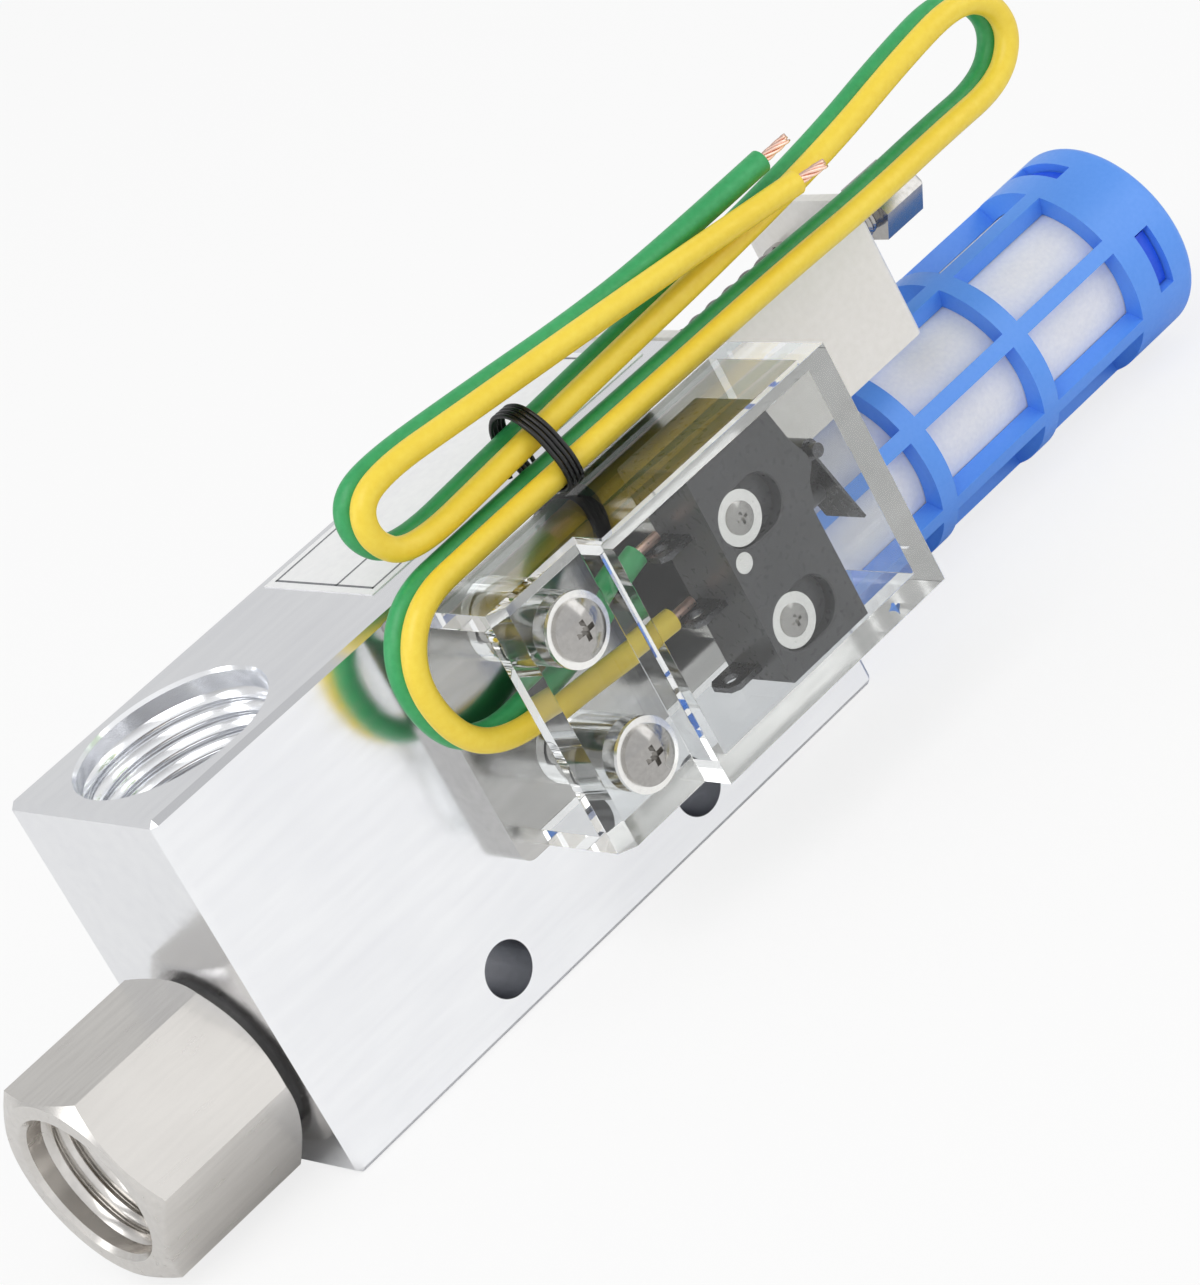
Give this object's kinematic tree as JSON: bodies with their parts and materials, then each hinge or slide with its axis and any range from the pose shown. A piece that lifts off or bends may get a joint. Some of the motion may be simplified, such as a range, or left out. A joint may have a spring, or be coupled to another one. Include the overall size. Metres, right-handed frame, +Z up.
{
  "type": "vacuum ejector",
  "caption": "Compressed-air vacuum ejector block with threaded inlet fitting, vacuum port, silencer, and a spring-set vacuum switch under a clear cover with two lead wires",
  "frame": {"origin": "Centre of the narrow bottom face of the block, the face it rests on", "axes": "+X along the air path from the inlet to the silencer, +Z up to the vacuum port face, the switch side faces -Y"},
  "size_m": [0.1294, 0.0352, 0.0458],
  "materials": {
    "anodised_block": "bright clear-anodised",
    "nickel_fitting": "satin nickel",
    "silencer_blue": "satin moulded",
    "plug_blue": "satin moulded",
    "filter_white": "porous felt",
    "clear_acrylic": "clear polished",
    "plate_steel": "satin",
    "bracket_sheet": "satin cream",
    "bright_screw": "bright nickel",
    "washer_steel": "satin",
    "spring_steel": "bright drawn",
    "case_dark": "fine matte",
    "lever_steel": "dark satin",
    "rubber_black": "matte",
    "brass_inner": "turned",
    "yellow_insulation": "satin extruded",
    "green_insulation": "satin extruded",
    "copper_strand": "bare stranded copper",
    "tie_black": "satin",
    "piston_metal": "turned"
  },
  "bodies": {
    "base": {"body_block": "anodised_block", "inlet_fitting": "nickel_fitting", "inlet_seal": "rubber_black", "motive_nozzle": "brass_inner", "nozzle_ring": "rubber_black", "diffuser": "brass_inner", "silencer_cage": "silencer_blue", "silencer_filter": "filter_white", "silencer_plug": "plug_blue", "base_plate": "plate_steel", "clear_cover": "clear_acrylic", "cover_screw_1": "bright_screw", "cover_screw_2": "bright_screw", "cover_washer_1": "washer_steel", "cover_washer_2": "washer_steel", "switch_case": "case_dark", "switch_spacer_1": "washer_steel", "switch_spacer_2": "washer_steel", "case_rivet": "washer_steel", "lever_pin": "lever_steel", "lock_washer_1": "spring_steel", "lock_washer_2": "spring_steel", "switch_washer_1": "washer_steel", "switch_washer_2": "washer_steel", "switch_screw_1": "bright_screw", "switch_screw_2": "bright_screw", "terminal_1": "lever_steel", "terminal_2": "lever_steel", "terminal_3": "lever_steel", "spring_bracket": "bracket_sheet", "bracket_screw_1": "bright_screw", "bracket_screw_2": "bright_screw", "pull_spring": "spring_steel", "spring_plug": "bright_screw", "yellow_wire": "yellow_insulation", "green_wire": "green_insulation", "yellow_core": "copper_strand", "green_core": "copper_strand", "yellow_tail": "copper_strand", "green_tail": "copper_strand", "wire_tie": "tie_black"},
    "piston": {"sensing_piston": "piston_metal", "piston_ring": "rubber_black"},
    "setting_screw": {"adjusting_screw": "bright_screw"},
    "lever": {"switch_lever": "lever_steel"},
    "button": {"switch_button": "case_dark"}
  },
  "joints": [
    {"name": "sense_slide", "type": "slide", "parent": "base", "child": "piston", "axis": [1, 0, 0], "range_m": [-0.0015, 0], "stiffness_N_per_m": 600, "springref_m": 0.002, "deforming": ["pull_spring"]},
    {"name": "setting_turn", "type": "hinge", "parent": "base", "child": "setting_screw", "pos_m": [0.0522, 0, 0.0274], "axis": [1, 0, 0], "range_deg": [-720, 720]},
    {"name": "lever_hinge", "type": "hinge", "parent": "base", "child": "lever", "pos_m": [0.0278, -0.0194, 0.0263], "axis": [0, 1, 0], "range_deg": [0, 8], "stiffness_Nm_per_rad": 0.01, "springref_deg": -8.59},
    {"name": "button_press", "type": "slide", "parent": "base", "child": "button", "axis": [-1, 0, 0], "range_m": [0, 0.00063]}
  ],
  "couplings": [
    {"joint": "button_press", "follows": "lever_hinge", "m_per_rad": 0.0045}
  ]
}
